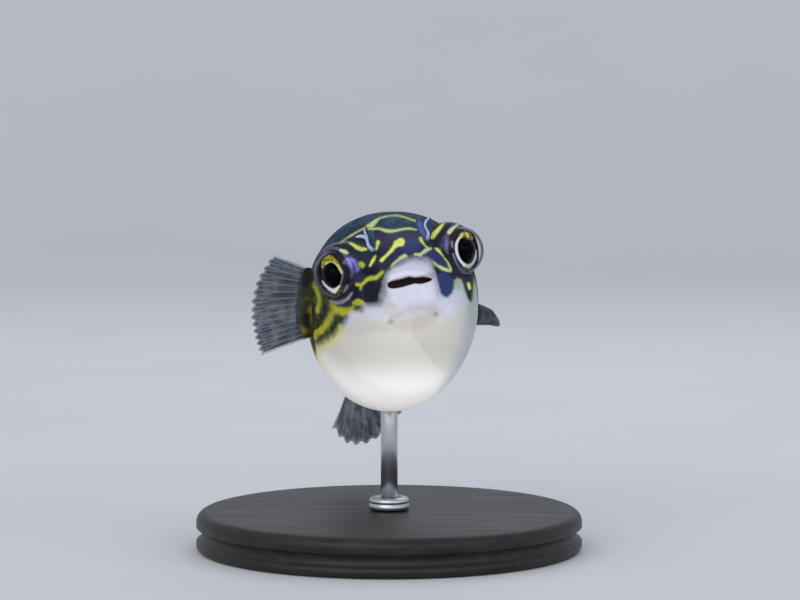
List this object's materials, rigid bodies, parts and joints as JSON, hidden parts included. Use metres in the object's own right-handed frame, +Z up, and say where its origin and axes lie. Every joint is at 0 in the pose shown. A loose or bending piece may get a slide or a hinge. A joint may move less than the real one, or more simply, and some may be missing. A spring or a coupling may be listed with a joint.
{
  "type": "life-size pufferfish display model",
  "caption": "Life-size still model of a small freshwater pufferfish: round belly, bulging eyes, forked nostril flaps, fanned side fin, on a slim rod and round base.",
  "frame": {"origin": "centre of the stand base's flat underside, which rests on the table", "axes": "+Z up; the snout points towards -Y and the tail towards +Y; the fish's own left side is towards +X"},
  "size_m": [0.05, 0.0673, 0.0438],
  "materials": {
    "skin_upper": "wet dark blue-violet skin with yellow lines",
    "skin_lower": "wet smooth off-white skin",
    "fin_base": "mottled yellow and dark skin, satin",
    "fin_web": "thin translucent membrane with pale rays",
    "tentacle": "pale blue-white skin, satin",
    "eyeball": "dark wet skin with a violet sheen",
    "iris": "gold and silver metallic fleck, glossy",
    "pupil": "black, high gloss",
    "base_wood": "black stained and satin varnished",
    "stand_steel": "fine brushed"
  },
  "bodies": {
    "root": {"upper_jaw": "skin_lower", "lower_jaw": "skin_lower", "head": "skin_upper", "back": "skin_upper", "belly": "skin_lower", "tail_peduncle": "skin_upper", "eyeball_left": "eyeball", "iris_left": "iris", "pupil_left": "pupil", "eyeball_right": "eyeball", "iris_right": "iris", "pupil_right": "pupil", "nostril_left": "tentacle", "nostril_right": "tentacle", "pectoral_left_base": "fin_base", "pectoral_left_fin": "fin_web", "pectoral_right_base": "fin_base", "pectoral_right_fin": "fin_web", "dorsal_base": "fin_base", "dorsal_fin": "fin_web", "anal_base": "fin_base", "anal_fin": "fin_web", "caudal_fin": "fin_web", "stand_base": "base_wood", "stand_collar": "stand_steel", "stand_rod": "stand_steel"}
  },
  "joints": []
}
